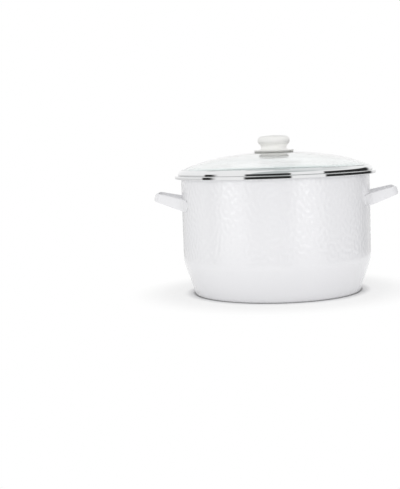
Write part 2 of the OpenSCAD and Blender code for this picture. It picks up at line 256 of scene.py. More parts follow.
def lengths_along(path):
    """How far each point of a path lies along it: the running sum of its steps' lengths."""
    return np.concatenate([[0], np.cumsum(np.linalg.norm(np.diff(path, axis=0), axis=1))])


def along_evenly(path, gap):
    """A path's points again at equal steps of about the gap, and how far along each lies."""
    run = lengths_along(path)
    at = np.linspace(0, run[-1], round(run[-1] / gap) + 1)
    return np.stack([np.interp(at, run, axis) for axis in path.T], -1), at


def chain(*parts):
    """Profile pieces joined end to end, with points closer than a hundredth of a mm left out."""
    points = np.concatenate([np.atleast_2d(p) for p in parts])
    gap = np.linalg.norm(np.diff(points, axis=0), axis=1)
    return points[np.concatenate([[True], gap > 0.01 * MM])]


def turned(profile, sectors, closed, swell=None):
    """A surface of revolution: profile point (r, z) goes to (r cos a, r sin a, z).

    A closed profile is a ring's section. An open one starts and ends on the axis, and its
    two end points are single vertices. swell, a sectors x points array, is added to r.
    """
    angle = np.linspace(0, 2 * np.pi, sectors, endpoint=False)[:, None]
    inner = profile if closed else profile[1:-1]
    r = inner[:, 0][None, :] + (0 if swell is None else swell)
    z = np.broadcast_to(inner[:, 1][None, :], (sectors, len(inner)))
    r = np.broadcast_to(r, z.shape)
    points = np.stack([r * np.cos(angle), r * np.sin(angle), z], -1).reshape(-1, 3)
    faces = [grid_quads(sectors, len(inner), True, closed)]
    if not closed:
        n = len(inner)
        start, end = len(points), len(points) + 1
        points = np.concatenate([points, [[0, 0, profile[0][1]], [0, 0, profile[-1][1]]]])
        here = np.arange(sectors) * n
        there = np.roll(here, -1)
        faces.append(np.stack([np.full(sectors, start), there, here], -1))
        faces.append(np.stack([here + n - 1, there + n - 1, np.full(sectors, end)], -1))
    return points, faces


def unit(v):
    """Vectors along the last axis, each divided by its length."""
    return v / np.linalg.norm(v, axis=-1, keepdims=True)


def tangents(path, closed=False):
    """Directions along a path: the difference of each point's two neighbours."""
    if closed:
        return unit(np.roll(path, -1, 0) - np.roll(path, 1, 0))
    return unit(np.gradient(path, axis=0))


def swept(path, out, width_axis, thick, wide, closed=False):
    """A section carried along a path: point + thick * out + wide * width axis.

    thick and wide are stations x section arrays; the ends of an open path are closed with
    a fan of triangles to the end section's middle.
    """
    points = path[:, None] + thick[..., None] * out[:, None]
    points = points + wide[..., None] * width_axis[:, None]
    stations, around = points.shape[:2]
    faces = [grid_quads(stations, around, closed, True)]
    points = points.reshape(-1, 3)
    if not closed:
        ends = [points[:around].mean(0), points[-around:].mean(0)]
        points = np.concatenate([points, ends])
        j = np.arange(around)
        k = (j + 1) % around
        last = (stations - 1) * around
        faces.append(np.stack([np.full(around, stations * around), j, k], -1))
        faces.append(np.stack([np.full(around, stations * around + 1), last + k, last + j], -1))
    return points, faces


def bent_path(corners, radii, step, bend_steps):
    """A polyline with rounded corners, as a bent wire runs.

    At each inner corner an arc of the given radius touches both straight runs; it starts
    radius * tan(turn / 2) before the corner. Straight runs are divided into equal steps.
    """
    corners = np.asarray(corners, float)
    runs = [corners[:1]]
    for k in range(1, len(corners) - 1):
        back, ahead = unit(corners[k] - corners[k - 1]), unit(corners[k + 1] - corners[k])
        turn = math.acos(max(-1.0, min(1.0, float(back @ ahead))))
        reach = radii[k - 1] * math.tan(turn / 2)
        side = unit(ahead - back * float(back @ ahead))
        start = corners[k] - back * reach
        centre = start + side * radii[k - 1]
        a = np.linspace(0, turn, bend_steps + 1)[:, None]
        bend = centre + radii[k - 1] * (back * np.sin(a) - side * np.cos(a))
        here = runs[-1][-1]
        steps = max(1, round(float(np.linalg.norm(start - here)) / step))
        runs.append(line(here, start, steps)[:-1])
        runs.append(bend)
    here = runs[-1][-1]
    steps = max(1, round(float(np.linalg.norm(corners[-1] - here)) / step))
    runs.append(line(here, corners[-1], steps))
    return chain(*[run for run in runs if len(run)])


def round_wire(path, r, closed=False, lean=(1, -1, 1), sides=14):
    """A round wire along a path; its section is r (cos a, sin a) across the path.

    The lean is a direction that the path never runs along; the section's first axis is
    path x lean, so that the mesh doesn't twist. At an open end the wire is domed over.
    """
    along = tangents(path, closed)
    first = unit(np.cross(along, np.broadcast_to(unit(np.array(lean, float)), along.shape)))
    second = np.cross(along, first)
    size = np.full(len(path), r)
    if not closed:
        run = lengths_along(path)
        for end in (run, run[-1] - run):
            dome = np.clip(1 - end / (0.6 * r), 0, 1)
            size = np.minimum(size, r * np.sqrt(np.maximum(1 - dome * dome, 0.01)))
    a = np.linspace(0, 2 * np.pi, sides, endpoint=False)
    return swept(path, first, second, size[:, None] * np.cos(a), size[:, None] * np.sin(a), closed)


def ends_refined(start, end, r, steps):
    """A straight path with close stations in the last stretch at both ends, for the domes."""
    start, end = np.array(start, float), np.array(end, float)
    length = np.linalg.norm(end - start)
    tip = np.array([0, 0.04, 0.12, 0.25, 0.4, 0.6]) * r
    t = np.concatenate([tip, np.linspace(0, length, steps + 1)[1:-1], length - tip[::-1]]) / length
    return start + t[:, None] * (end - start)


def nugget(centre, size):
    """A weld nugget: a flattened ball, centre + size * (cos b cos a, cos b sin a, sin b)."""
    points, faces = turned(arc((0, 0), 1, -90, 90, 8), 14, False)
    return points * np.array(size) + np.array(centre), faces


def joined(*forms):
    """Several closed forms as one set of points and faces."""
    points, faces, count = [], [], 0
    for form_points, form_faces in forms:
        faces += [block + count for block in form_faces]
        points.append(form_points)
        count += len(form_points)
    return np.concatenate(points), faces


# ---------------------------------------------------------------- shader maths


class Value:
    """A shader socket in an expression: each operator adds the Math node for it."""

    def __init__(self, finish, socket):
        self.finish = finish
        self.socket = socket

    def maths(self, operation, *others):
        """The Math node of an operation, with this value in its first socket."""
        made = self.finish.add("ShaderNodeMath", {"operation": operation}, [self, *others])
        return self.finish.value(made)

    def back(self, operation, other):
        """The same with this value in the second socket, for a number on the left."""
        made = self.finish.add("ShaderNodeMath", {"operation": operation}, [other, self])
        return self.finish.value(made)

    def __add__(self, other):
        return self.maths("ADD", other)

    def __radd__(self, other):
        return self.back("ADD", other)

    def __sub__(self, other):
        return self.maths("SUBTRACT", other)

    def __rsub__(self, other):
        return self.back("SUBTRACT", other)

    def __mul__(self, other):
        return self.maths("MULTIPLY", other)

    def __rmul__(self, other):
        return self.back("MULTIPLY", other)

    def __truediv__(self, other):
        return self.maths("DIVIDE", other)

    def __pow__(self, other):
        return self.maths("POWER", other)

    def step(self, low, high):
        """0 below low, 1 above high, a smooth step between; low may be the greater."""
        made = self.finish.add(
            "ShaderNodeMapRange", {"interpolation_type": "SMOOTHSTEP"},
            {"Value": self, "From Min": low, "From Max": high},
        )
        return self.finish.value(made, "Result")


class Finish:
    """The nodes of one material or of the world."""

    def __init__(self, name, world=False):
        self.owner = bpy.data.worlds.new(name) if world else bpy.data.materials.new(name)
        self.owner.use_nodes = True
        self.tree = self.owner.node_tree
        self.tree.nodes.clear()

    def add(self, kind, settings=None, values=()):
        """A node of a kind: its settings first, then the values or links of its sockets."""
        made = self.tree.nodes.new(kind)
        for name, setting in (settings or {}).items():
            setattr(made, name, setting)
        for key, value in (values.items() if isinstance(values, dict) else enumerate(values)):
            socket = made.inputs[key]
            if isinstance(value, Value):
                self.tree.links.new(value.socket, socket)
            else:
                socket.default_value = value
        return made

    def value(self, made, output=0):
        return Value(self, made.outputs[output])

    def place(self):
        """Object coordinates as one vector."""
        return self.value(self.add("ShaderNodeTexCoord"), "Object")

    def parts(self, vector):
        """The x, y and z of a vector."""
        made = self.add("ShaderNodeSeparateXYZ", None, [vector])
        return [self.value(made, k) for k in range(3)]

    def noise(self, vector, scale, detail=2.0, roughness=0.5, kind="FBM"):
        """Noise from 0 to 1 with a number of cells to the metre."""
        made = self.add(
            "ShaderNodeTexNoise", {"noise_type": kind, "normalize": True},
            {"Vector": vector, "Scale": scale, "Detail": detail, "Roughness": roughness},
        )
        return self.value(made, 0)

    def vector(self, x, y, z):
        return self.value(self.add("ShaderNodeCombineXYZ", None, [x, y, z]))

    def mix(self, amount, first, second):
        """A colour between two colours."""
        made = self.add("ShaderNodeMix", {"data_type": "RGBA"}, {0: amount, 6: first, 7: second})
        return self.value(made, 2)

    def bump(self, height, distance, strength=1.0):
        made = self.add(
            "ShaderNodeBump", None,
            {"Height": height, "Distance": distance, "Strength": strength},
        )
        return self.value(made, "Normal")

    def surface(self, **values):
        """The Principled shader on the material's output; returns the material."""
        names = {key.replace("_", " "): value for key, value in values.items()}
        shader = self.value(self.add("ShaderNodeBsdfPrincipled", None, names))
        self.add("ShaderNodeOutputMaterial", None, {"Surface": shader})
        return self.owner


def colour(r, g, b):
    return (r, g, b, 1.0)


def enamel_finish():
    """White vitreous enamel: faint cloudy colour, painted shade in the relief's hollows, a fine
    orange peel in the gloss."""
    f = Finish("white enamel")
    where = f.place()
    relief = f.value(f.add("ShaderNodeAttribute", {"attribute_name": "relief"}), "Fac")
    cloud = f.noise(where, 14.0, 3.0)
    peel = f.noise(where, 420.0, 2.0)
    clean = f.mix(cloud, colour(0.79, 0.79, 0.806), colour(0.81, 0.81, 0.824))
    # painted shade: the colour darkens in the relief's hollows, where shade falls
    hollow = relief.step(0.2, -1.0)
    tint = f.mix(hollow * 0.08, clean, colour(0.72, 0.725, 0.755))
    gloss = 0.12 + 0.08 * f.noise(where, 60.0, 3.0)
    return f.surface(
        Base_Color=tint, Roughness=gloss, Coat_Weight=0.35, Coat_Roughness=0.10,
        Specular_IOR_Level=0.3, Normal=f.bump(peel, 0.02 * MM),
    )


def steel_finish(name, tone, rough, line_depth):
    """Polished steel: fine lines that run round the axis, faint smudges in the gloss."""
    f = Finish(name)
    where = f.place()
    x, y, z = f.parts(where)
    r = (x * x + y * y) ** 0.5
    lines = f.noise(f.vector(r * 2600.0, z * 2600.0, x * 6.0), 1.0, 2.0)
    smudge = f.noise(where, 45.0, 4.0)
    tone_low = tuple(0.93 * c for c in tone)
    tint = f.mix(smudge, colour(*tone_low), colour(*tone))
    return f.surface(
        Base_Color=tint, Metallic=1.0, Roughness=rough * (0.6 + 0.8 * smudge),
        Normal=f.bump(lines, line_depth * MM),
    )


def glass_finish():
    """Tempered glass with faint smears in its gloss and a trace of green, which is stronger
    in the steeper edge."""
    f = Finish("lid glass")
    where = f.place()
    x, y, z = f.parts(where)
    smear = f.noise(where, 22.0, 4.0)
    clear = f.mix(smear, colour(0.98, 0.993, 0.99), colour(0.988, 0.996, 0.993))
    r = (x * x + y * y) ** 0.5
    tint = f.mix(r.step(148 * MM, 158 * MM), clear, colour(0.86, 0.905, 0.90))
    return f.surface(
        Base_Color=tint, Roughness=0.02 * smear.step(0.55, 0.8), IOR=1.5,
        Transmission_Weight=1.0, Normal=f.bump(f.noise(where, 30.0, 1.0), 0.02 * MM),
    )


def knob_finish():
    """Warm white moulded plastic with a soft gloss and a faint moulding grain."""
    f = Finish("knob plastic")
    where = f.place()
    grain = f.noise(where, 900.0, 2.0)
    cloud = f.noise(where, 40.0, 3.0)
    tint = f.mix(cloud, colour(0.93, 0.928, 0.905), colour(0.95, 0.948, 0.925))
    return f.surface(
        Base_Color=tint, Roughness=0.34 + 0.12 * cloud, Coat_Weight=0.1,
        Coat_Roughness=0.15, Normal=f.bump(grain, 0.02 * MM),
    )


def seal_finish():
    """Pale olive grey silicone, dull, with a dusty bloom."""
    f = Finish("seal silicone")
    where = f.place()
    bloom = f.noise(where, 260.0, 4.0)
    tint = f.mix(bloom, colour(0.64, 0.645, 0.61), colour(0.74, 0.745, 0.71))
    return f.surface(
        Base_Color=tint, Roughness=0.55 + 0.2 * bloom, Normal=f.bump(bloom, 0.03 * MM),
    )


def rack_finish():
    """Bright zinc chrome wire: drawing lines, a heat tint here and there, dulled gloss."""
    f = Finish("rack chrome")
    where = f.place()
    x, y, z = f.parts(where)
    lines = f.noise(f.vector(x * 90.0, y * 900.0, z * 900.0), 1.0, 2.0)
    patch = f.noise(where, 55.0, 3.0)
    bright = f.mix(lines, colour(0.55, 0.56, 0.575), colour(0.68, 0.69, 0.70))
    tint = f.mix(patch.step(0.62, 0.8) * 0.5, bright, colour(0.52, 0.49, 0.44))
    return f.surface(
        Base_Color=tint, Metallic=1.0, Roughness=0.14 + 0.16 * patch,
        Normal=f.bump(lines, 0.02 * MM),
    )


ENAMEL = enamel_finish()
RIM_STEEL = steel_finish("rim steel", (0.80, 0.805, 0.81), 0.06, 0.002)
FASTENER = steel_finish("fastener steel", (0.95, 0.95, 0.94), 0.36, 0.03)
GLASS = glass_finish()
KNOB = knob_finish()
SEAL = seal_finish()
RACK = rack_finish()

# ---------------------------------------------------------------- pot

SECTORS = 620
ROW_GAP = 2.0 * MM
RELIEF_DEPTH = 0.19 * MM
WAVE_SHORT, WAVE_LONG = 7.5 * MM, 13 * MM
WAVE_STRETCH = 1.15  # waves up the wall are this much longer than those round it
FADE_LOW, FADE_HIGH = 25 * MM, 6 * MM  # the heights over which the relief fades out
RELIEF_OVER = 4 * MM  # how far over its top image point the relief ends


def pot_side(depth, base_rows, steps):
    """One face of the pot's sheet from the axis to the lip: base, corner, sloping foot, soft
    bend, wall, and the cove under the rim. depth is how far it lies inside the outer face."""
    angle = math.degrees(FOOT_ANGLE)
    base = np.stack([np.linspace(0, BASE_R, base_rows), np.full(base_rows, depth)], -1)
    corner = arc((BASE_R, BASE_CORNER), BASE_CORNER - depth, -90, -angle, steps)
    bend = arc((BODY_R - FOOT_BEND, FOOT_BEND_Z), FOOT_BEND - depth, -angle, 0, steps)
    cove = arc((BODY_R + COVE, COVE_Z), COVE + depth, 180, 90, steps)
    lip = line(cove[-1], (LIP_R, LIP_TOP - SHEET + depth), 1)
    return base, corner, bend, cove, lip


def mottle(sectors, rows, across, along, short, long, seed):
    """Rippled noise that closes on itself round the pot.

    White noise is carried into waves, the waves between the short and the long wavelength
    are kept with soft edges, and the rest are left out; then the field is set to a spread
    of one and flattened by tanh, which leaves rounded swirls with narrow hollows.
    """
    random = np.random.default_rng(seed)
    waves = np.fft.fft2(random.standard_normal((sectors, rows)))
    fx = np.fft.fftfreq(sectors, across)[:, None]
    fy = np.fft.fftfreq(rows, along)[None, :]
    f = np.hypot(fx, WAVE_STRETCH * fy)
    off = np.log(np.maximum(f, 1e-6) * math.sqrt(short * long)) / math.log(long / short)
    keep = np.exp(-3 * off ** 2)
    field = np.real(np.fft.ifft2(waves * keep * (f > 0)))
    return np.tanh(1.3 * field / field.std())


def make_pot(relief_low, relief_high):
    """The enamelled shell: outer face with relief, lip, and the plain inner face.

    The relief, times its depth, is added to the outer face's distance from the axis.
    """
    base, corner, bend, cove, lip = pot_side(0.0, 8, 7)
    textured = along_evenly(chain(corner[-1:], bend, cove[:1]), ROW_GAP)[0]
    outside = chain(base, corner[1:], textured[1:], cove[1:], lip)
    base_in, corner_in, bend_in, cove_in, lip_in = pot_side(SHEET, 4, 5)
    inside = chain(base_in, corner_in[1:], bend_in, cove_in, lip_in)[::-1]
    profile = np.concatenate([outside, inside])
    inner = profile[1:-1]
    across = 2 * math.pi * BODY_R / SECTORS
    field = mottle(SECTORS, len(inner), across, ROW_GAP, WAVE_SHORT, WAVE_LONG, 5)
    z = inner[:, 1]
    shown = smooth((z - relief_low) / FADE_LOW) * smooth((relief_high - z) / FADE_HIGH)
    shown[len(outside) - 1:] = 0
    relief = field * shown[None, :]
    points, faces = turned(profile, SECTORS, False, RELIEF_DEPTH * relief)
    weight = np.concatenate([relief.ravel(), [0, 0]])
    return solid("enamelled_pot", points, faces, "pot", ["pot_shell"], ENAMEL, weight)


def plain_pot():
    """The search tree of the pot without relief, to find where the relief ends on it."""
    base, corner, bend, cove, lip = pot_side(0.0, 8, 7)
    outside = chain(base, corner[1:], bend, cove, lip)
    points, faces = turned(np.concatenate([outside, [[0, LIP_TOP]]]), 180, False)
    quads = [tuple(face) for block in faces for face in block.tolist()]
    return BVHTree.FromPolygons([Vector(p) for p in points], quads)


plain = plain_pot()
relief_top_at = on_surface("relief_top", plain)
relief_bottom_at = on_surface("relief_bottom", plain)
pot = make_pot(relief_bottom_at.z - FADE_LOW, relief_top_at.z + RELIEF_OVER)

RIM_R = rim_high.y
RIM_EDGE, RIM_FACE = 1.1 * MM, 14 * MM  # radii of the rim's two edges and of its face
RIM_TOP_W, RIM_CURL = 8.2 * MM, 1 * MM
HEEL_R, HEEL_EDGE = BODY_R + COVE + 1 * MM, 0.9 * MM
rim_profile = chain(
    [[HEEL_R, LIP_TOP - SHEET - FIT]],
    arc((HEEL_R + HEEL_EDGE, rim_low.z + HEEL_EDGE), HEEL_EDGE, 180, 270, 5),
    arc((RIM_R - RIM_EDGE, rim_low.z + RIM_EDGE), RIM_EDGE, -90, -8, 7),
    arc((RIM_R - RIM_FACE, (rim_high.z + rim_low.z) / 2), RIM_FACE, -6, 6, 6),
    arc((RIM_R - RIM_EDGE, rim_high.z - RIM_EDGE), RIM_EDGE, 8, 90, 7),
    arc((RIM_R - RIM_TOP_W, rim_high.z - RIM_CURL), RIM_CURL, 90, 180, 6),
    [[RIM_R - RIM_TOP_W - RIM_CURL, LIP_TOP + FIT], [LIP_R + FIT, LIP_TOP + FIT]],
    [[LIP_R + FIT, LIP_TOP - SHEET - FIT]],
)
points, faces = turned(rim_profile, 540, True)
solid("rolled_rim", points, faces, "pot", ["pot_rim"], RIM_STEEL)

# ---------------------------------------------------------------- handles

HANDLE_Z = rim_high.z - 49 * MM
REACH = 48.5 * MM
TILT = math.radians(16)
SPREAD = math.radians(20)
GRIP_HALF, GRIP_BEND = 18 * MM, 17 * MM
STRAP_T, STRAP_STEP = 3.2 * MM, 1.1 * MM
ROOT_W, GRIP_W = 20 * MM, 14.5 * MM
TIP_ROUND = GRIP_W / 3
ROOT_BEND = 7 * MM  # how far out the strap has turned from upright to the loop's tilt
PAD_L, PAD_CORNER, PAD_EDGE = 20 * MM, ROOT_W / 4, 1.2 * MM
PAD_THIN = 0.4  # the share of the strap's thickness that is left at a foot's end


def strap_path():
    """The middle line of a handle's strap, from one welded foot round to the other.

    The loop lies in a plane that rises outwards by the tilt: (u, y) goes to
    (body radius + u cos tilt, y, handle height + u sin tilt). The feet lie on the wall.
    """
    mid = STRAP_T / 2
    bend_x = REACH - GRIP_BEND
    side_y = GRIP_HALF + (GRIP_BEND - mid) / math.cos(SPREAD) + bend_x * math.tan(SPREAD)
    outer_y = GRIP_HALF + GRIP_BEND / math.cos(SPREAD) + bend_x * math.tan(SPREAD)
    foot_back = BODY_R - math.sqrt(BODY_R ** 2 - outer_y ** 2)
    foot_y = side_y + foot_back * math.tan(SPREAD)
    root_u, grip_u = -foot_back / math.cos(TILT), REACH - mid
    grip_y = side_y - grip_u * math.tan(SPREAD)
    corners = [
        (BODY_R + u * math.cos(TILT), y, HANDLE_Z + u * math.sin(TILT))
        for u, y in ((root_u, foot_y), (grip_u, grip_y), (grip_u, -grip_y), (root_u, -foot_y))
    ]
    loop = bent_path(corners, [GRIP_BEND - mid] * 2, 1.5 * MM, 22)
    wall_r = BODY_R + FIT + mid
    start = math.asin(foot_y / wall_r)
    a = start + np.linspace(PAD_L / BODY_R, 0, 14)
    foot = np.stack([wall_r * np.cos(a), wall_r * np.sin(a), np.full(len(a), corners[0][2])], -1)
    return foot, loop


def soften(path, closeness, rounds):
    """The path's corners eased: each point moves part of the way to its neighbours' middle."""
    for _ in range(rounds):
        path = path.copy()
        path[1:-1] += closeness * ((path[:-2] + path[2:]) / 2 - path[1:-1])
    return path


def make_handle(name, node, side):
    """A strap handle: a rounded section carried along the strap's path.

    The section is (cos a ** 0.55, sin a ** 0.3), signs kept, times half the thickness and
    half the width. The width axis is upright on the welded feet and leans with the tilted
    loop beyond the root bends. The width narrows from root to grip and rounds off at the
    loop's tip and at the feet's ends. The feet thin out towards their ends and stay against
    the wall.
    """
    foot, loop = strap_path()
    other = foot[::-1] * [1, -1, 1]
    ends = 5
    path = np.concatenate([foot[:-2], loop[ends:-ends], other[2:]])
    path, at = along_evenly(path, STRAP_STEP)
    path = soften(path, 0.5, 6)
    floor_r = BODY_R + FIT + STRAP_T / 2
    path[:, :2] *= np.maximum(floor_r / np.hypot(path[:, 0], path[:, 1]), 1)[:, None]
    along = tangents(path)
    out_by = np.hypot(path[:, 0], path[:, 1]) - floor_r
    lean = smooth(out_by / ROOT_BEND)[:, None]
    tilted = np.array([-math.sin(TILT), 0, math.cos(TILT)])
    tall = unit(tilted * lean + np.array([0, 0, 1]) * (1 - lean))
    tall = unit(tall - along * np.sum(along * tall, -1, keepdims=True))
    inward = np.cross(along, tall)
    from_end = np.minimum(at, at[-1] - at)
    into = np.clip(PAD_CORNER - from_end, 0, PAD_CORNER)
    inset = PAD_CORNER - np.sqrt(np.maximum(PAD_CORNER ** 2 - into ** 2, 0))
    edge = np.clip(1 - from_end / PAD_EDGE, 0, 1)
    thick = STRAP_T * (PAD_THIN + (1 - PAD_THIN) * smooth(from_end / PAD_L))
    thick = (thick * np.sqrt(np.maximum(1 - edge ** 2, 0.02)))[:, None]
    a = np.linspace(0, 2 * np.pi, 40, endpoint=False)
    thin_axis = np.sign(np.cos(a)) * np.abs(np.cos(a)) ** 0.55
    wide_axis = np.sign(np.sin(a)) * np.abs(np.sin(a)) ** 0.30
    deep = (STRAP_T - thick) / 2 + thick / 2 * thin_axis
    leaning = np.array([math.cos(TILT), 0, math.sin(TILT)])
    u = (path - [BODY_R, 0, HANDLE_Z]) @ leaning
    u = u[:, None] + deep * (inward @ leaning)[:, None]
    half = ROOT_W / 2 + (GRIP_W - ROOT_W) / 2 * np.clip(u / REACH, 0, 1)
    past = np.clip(u - (REACH - TIP_ROUND), 0, TIP_ROUND)
    half = half - TIP_ROUND + np.sqrt(TIP_ROUND ** 2 - past ** 2) - inset[:, None]
    points, faces = swept(path, inward, tall, deep, half * wide_axis)
    points = points * [side, 1, 1]
    weight = np.zeros(len(points))
    return solid(name, points, faces, "pot", [node], ENAMEL, weight)


make_handle("strap_handle_right", "handle_right", 1)
make_handle("strap_handle_left", "handle_left", -1)

# ---------------------------------------------------------------- lid

LID_R = band_high.x
SEAT = 0.2 * MM  # the gap between the rim and the lid that rests on it
LID_Z = rim_high.z + SEAT
GLASS_R = glass_high.x
GLASS_T = 3.5 * MM
CROWN_R, CROWN_EDGE = 600 * MM, 100 * MM
SHOULDER_R = 265 * MM
CROWN_ANGLE = math.asin(CROWN_EDGE / CROWN_R)
SHOULDER_X = CROWN_EDGE - SHOULDER_R * math.sin(CROWN_ANGLE)
CROWN_Z = glass_high.z - CROWN_R
SHOULDER_Z = CROWN_Z - (SHOULDER_R - CROWN_R) * math.cos(CROWN_ANGLE)
EDGE_ANGLE = math.asin((GLASS_R - SHOULDER_X) / SHOULDER_R)
HOLE_R = 3.5 * MM


def dome(depth, r0, r1, steps):
    """Points of the dome between two distances from the axis, the given depth under its top
    face: a crown of one radius, then a shoulder of a smaller one."""
    crown, shoulder = CROWN_R - depth, SHOULDER_R - depth
    turn = CROWN_EDGE - depth * math.sin(CROWN_ANGLE)
    r = np.linspace(r0, r1, steps + 1)
    z = np.where(
        r < turn,
        CROWN_Z + np.sqrt(crown ** 2 - r ** 2),
        SHOULDER_Z + np.sqrt(shoulder ** 2 - (r - SHOULDER_X) ** 2),
    )
    return np.stack([r, z], -1)


edge_in = GLASS_R - GLASS_T * math.sin(EDGE_ANGLE)
glass_profile = chain(
    dome(0, HOLE_R, GLASS_R - 0.3 * MM, 70),
    [[GLASS_R, SHOULDER_Z + SHOULDER_R * math.cos(EDGE_ANGLE) - 0.35 * MM]],
    dome(GLASS_T, edge_in, HOLE_R, 60),
)
points, faces = turned(glass_profile, 256, True)
solid("glass_dome", points, faces, "lid", ["lid_glass"], GLASS)

ROLL_R, BAND_T = 6.5 * MM, 0.8 * MM
ROLL_X = LID_R - ROLL_R
LAP_SHELL = SHOULDER_R + FIT + BAND_T
ROLL_Z = SHOULDER_Z + math.sqrt((LAP_SHELL - ROLL_R) ** 2 - (ROLL_X - SHOULDER_X) ** 2)
ROLL_SWEEP = math.degrees(math.atan2(ROLL_Z - SHOULDER_Z, ROLL_X - SHOULDER_X))
SKIRT_FIT = 1.4 * MM  # the gap round the lid's skirt inside the pot
SKIRT_R = BODY_R - SHEET - SKIRT_FIT


def shell_at(r, shell_r):
    """The point at a distance from the axis on a shell of the given radius round the dome's
    shoulder."""
    return [r, SHOULDER_Z + math.sqrt(shell_r ** 2 - (r - SHOULDER_X) ** 2)]


lap_r = GLASS_R - 2.5 * MM
lap_edge = 0.35 * MM
skirt_edge, shelf_bend, shelf_edge = BAND_T / 2, 0.6 * MM, 0.3 * MM
band_profile = chain(
    arc((SKIRT_R - skirt_edge, band_low.z + skirt_edge), skirt_edge, 180, 360, 6),
    [[SKIRT_R, LID_Z - shelf_bend]],
    arc((SKIRT_R + shelf_bend, LID_Z - shelf_bend), shelf_bend, 180, 90, 4),
    arc((LID_R - shelf_edge, LID_Z + shelf_edge), shelf_edge, -90, 0, 4),
    arc((ROLL_X, ROLL_Z), ROLL_R, 0, ROLL_SWEEP, 18),
    [shell_at(r, LAP_SHELL) for r in np.linspace(ROLL_X - 0.3 * MM, lap_r + lap_edge, 4)],
    [shell_at(lap_r + 0.1 * MM, LAP_SHELL - 0.15 * MM), shell_at(lap_r, LAP_SHELL - 0.4 * MM)],
    [shell_at(lap_r, SHOULDER_R + FIT)],
    [[GLASS_R + FIT, shell_at(GLASS_R, SHOULDER_R + FIT)[1]]],
    [[GLASS_R + FIT, shell_at(edge_in, SHOULDER_R - GLASS_T - FIT)[1]]],
    [shell_at(edge_in, SHOULDER_R - GLASS_T - FIT)],
    [shell_at(SKIRT_R - BAND_T, SHOULDER_R - GLASS_T - FIT)],
)
points, faces = turned(band_profile, 540, True)
solid("lid_steel_band", points, faces, "lid", ["lid_band"], RIM_STEEL)

# ---------------------------------------------------------------- knob and its fastening

KNOB_Z = knob_low.z
KNOB_H = knob_high.z - knob_low.z
FLANGE_R, FLANGE_T = knob_high.x, 2.2 * MM
WAIST_R, HEAD_R = 22.4 * MM, 28.3 * MM
SIDE_R, HOLLOW_R, DOME_H = 7.8 * MM, 7 * MM, 1.5 * MM
SEAL_T = 1.6 * MM


def knob_profile():
    """The knob from the axis underneath to the axis on top: hollow underside, round flange
    edge, flare to the waist, hollow under the head, round head side, low dome."""
    head_x, head_z = HEAD_R - SIDE_R, KNOB_Z + KNOB_H - DOME_H - SIDE_R
    hollow_x = WAIST_R + HOLLOW_R
    join = math.degrees(math.acos((hollow_x - head_x) / (HOLLOW_R + SIDE_R)))
    waist_z = head_z - (HOLLOW_R + SIDE_R) * math.sin(math.radians(join))
    flare = waist_z - KNOB_Z - FLANGE_T
    top_r = (head_x ** 2 + DOME_H ** 2) / (2 * DOME_H)
    top = math.degrees(math.asin(head_x / top_r))
    edge = FLANGE_T / 2
    under_r = CROWN_R + SEAL_T
    sweep = math.degrees(math.asin((FLANGE_R - edge) / under_r))
    return chain(
        arc((0, CROWN_Z), under_r, 90, 90 - sweep, 12),
        arc((FLANGE_R - edge, KNOB_Z + edge), edge, -60, 90, 10),
        arc((WAIST_R + flare, waist_z), flare, 270, 180, 14),
        arc((hollow_x, waist_z), HOLLOW_R, 180, 180 - join, 12),
        arc((head_x, head_z), SIDE_R, -join, 90 - top, 24),
        arc((0, KNOB_Z + KNOB_H - top_r), top_r, 90 - top, 90, 12),
    )


points, faces = turned(knob_profile(), 160, False)
solid("knob_body", points, faces, "lid", ["knob"], KNOB)


def over_crown(r, rise):
    """Points at distances from the axis, the given rise over the dome's crown."""
    r = np.atleast_1d(r)
    return np.stack([r, CROWN_Z + np.sqrt((CROWN_R + rise) ** 2 - r ** 2)], -1)


SEAL_R, SEAL_EDGE = seal_high.x, 0.3 * MM
seal_face = np.linspace(HOLE_R, SEAL_R - SEAL_EDGE, 14)
seal_profile = chain(
    over_crown(seal_face, FIT), over_crown(SEAL_R, SEAL_EDGE),
    over_crown(SEAL_R, SEAL_T - SEAL_EDGE), over_crown(seal_face[::-1], SEAL_T - FIT),
)
points, faces = turned(seal_profile, 160, True)
solid("upper_gasket", points, faces, "lid", ["knob_seal"], SEAL)

lower_r, lower_z = lower_seal_high.x, lower_seal_low.z
lower_profile = chain(
    [[HOLE_R, lower_z], [lower_r - SEAL_EDGE, lower_z], [lower_r, lower_z + SEAL_EDGE]],
    [[lower_r, lower_z + 0.9 * MM], [lower_r - 0.2 * MM, lower_z + 0.96 * MM]],
    [[HOLE_R, lower_seal_high.z]],
)
points, faces = turned(lower_profile, 120, True)
solid("lower_gasket", points, faces, "lid", ["lower_seal"], SEAL)

# The washer is a sheet bent down at its edge: its underside, its edge, then its top.
WASHER_H, WASHER_T, WASHER_HOLE = 4 * MM, 1 * MM, 2.8 * MM
washer_r, washer_z = washer_high.x, washer_high.z
washer_flat, washer_low_z = washer_r - WASHER_H, washer_z - WASHER_H
washer_profile = np.array([
    (WASHER_HOLE, washer_z - WASHER_T),
    (washer_flat - 0.6 * MM, washer_z - WASHER_T),
    (washer_flat + 0.4 * MM, washer_z - 1.3 * MM),
    (washer_r - 0.5 * MM, washer_low_z + 0.3 * MM),
    (washer_r - 0.15 * MM, washer_low_z + 0.1 * MM),
    (washer_r, washer_low_z + 0.5 * MM),
    (washer_r - 0.1 * MM, washer_low_z + 0.95 * MM),
    (washer_flat + 0.7 * MM, washer_z - 0.5 * MM),
    (washer_flat - 0.6 * MM, washer_z),
    (WASHER_HOLE, washer_z),
])
points, faces = turned(washer_profile, 140, True)
solid("dished_washer", points, faces, "lid", ["lid_washer"], FASTENER)

for node in ("knob_insert", "knob_screw"):
    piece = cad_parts[node]
    for slot in piece.material_slots:
        slot.material = FASTENER

# ---------------------------------------------------------------- jar rack

